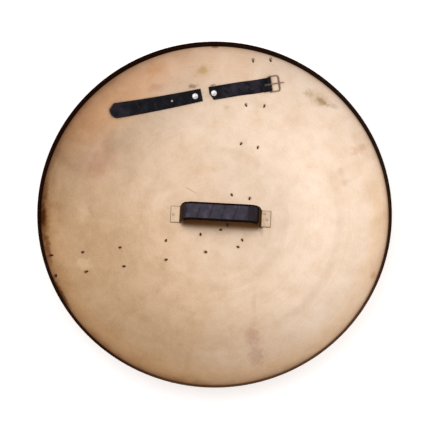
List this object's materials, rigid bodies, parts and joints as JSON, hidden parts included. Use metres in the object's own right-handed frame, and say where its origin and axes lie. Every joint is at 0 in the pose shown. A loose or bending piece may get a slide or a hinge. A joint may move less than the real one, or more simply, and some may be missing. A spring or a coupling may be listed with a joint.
{
  "type": "hoplite shield",
  "caption": "Round shallow brass shield lying on its front: upright hemmed lip, leather-wrapped hand grip, buckled leather arm strap, and a plain chevron band nailed to the front.",
  "frame": {"origin": "bottom centre of the whole shield's box: on the plane that the nail heads of the front band rest on, under the middle of the dish", "axes": "+Z from the front to the hollow back, the wearer's side; +Y from the hand grip towards the arm strap; +X along the hand grip"},
  "size_m": [0.61, 0.61, 0.0638],
  "materials": {
    "spun_brass": "satin spun brass with fine rings, stains and a browned rim",
    "grip_brass": "satin brass strip, browned at the bends",
    "band_bronze": "darkened bronze sheet",
    "nail_iron": "dark brown oxidised",
    "wrap_leather": "smooth dark wrap with slanted seams",
    "strap_leather": "black creased leather with brown cut edges",
    "rivet_nickel": "bright nickel",
    "buckle_steel": "worn nickelled wire"
  },
  "bodies": {
    "shield": {"shield_bowl": "spun_brass", "front_band": "band_bronze", "band_nail_01": "nail_iron", "band_nail_02": "nail_iron", "band_nail_03": "nail_iron", "band_nail_04": "nail_iron", "band_nail_05": "nail_iron", "band_nail_06": "nail_iron", "band_nail_07": "nail_iron", "band_nail_08": "nail_iron", "band_nail_09": "nail_iron", "band_nail_10": "nail_iron", "band_nail_11": "nail_iron", "band_nail_12": "nail_iron", "band_nail_13": "nail_iron", "band_nail_14": "nail_iron", "band_nail_15": "nail_iron", "band_nail_16": "nail_iron", "band_nail_17": "nail_iron", "band_nail_18": "nail_iron", "band_nail_19": "nail_iron", "band_nail_20": "nail_iron", "band_nail_21": "nail_iron", "band_nail_22": "nail_iron", "grip_bracket": "grip_brass", "grip_wrap": "wrap_leather", "strap_long": "strap_leather", "strap_buckle": "strap_leather", "strap_rivet_long": "rivet_nickel", "strap_rivet_buckle": "rivet_nickel"},
    "buckle": {"buckle_frame": "buckle_steel"},
    "prong": {"buckle_prong": "buckle_steel"}
  },
  "joints": [
    {"name": "buckle_hinge", "type": "hinge", "parent": "shield", "child": "buckle", "pos_m": [0.09586, 0.23458, 0.03588], "axis": [0.146, -0.9428, -0.2998], "range_deg": [0, 80]},
    {"name": "prong_hinge", "type": "hinge", "parent": "buckle", "child": "prong", "pos_m": [0.09586, 0.23458, 0.03588], "axis": [0.146, -0.9428, -0.2998], "range_deg": [0, 70]}
  ]
}
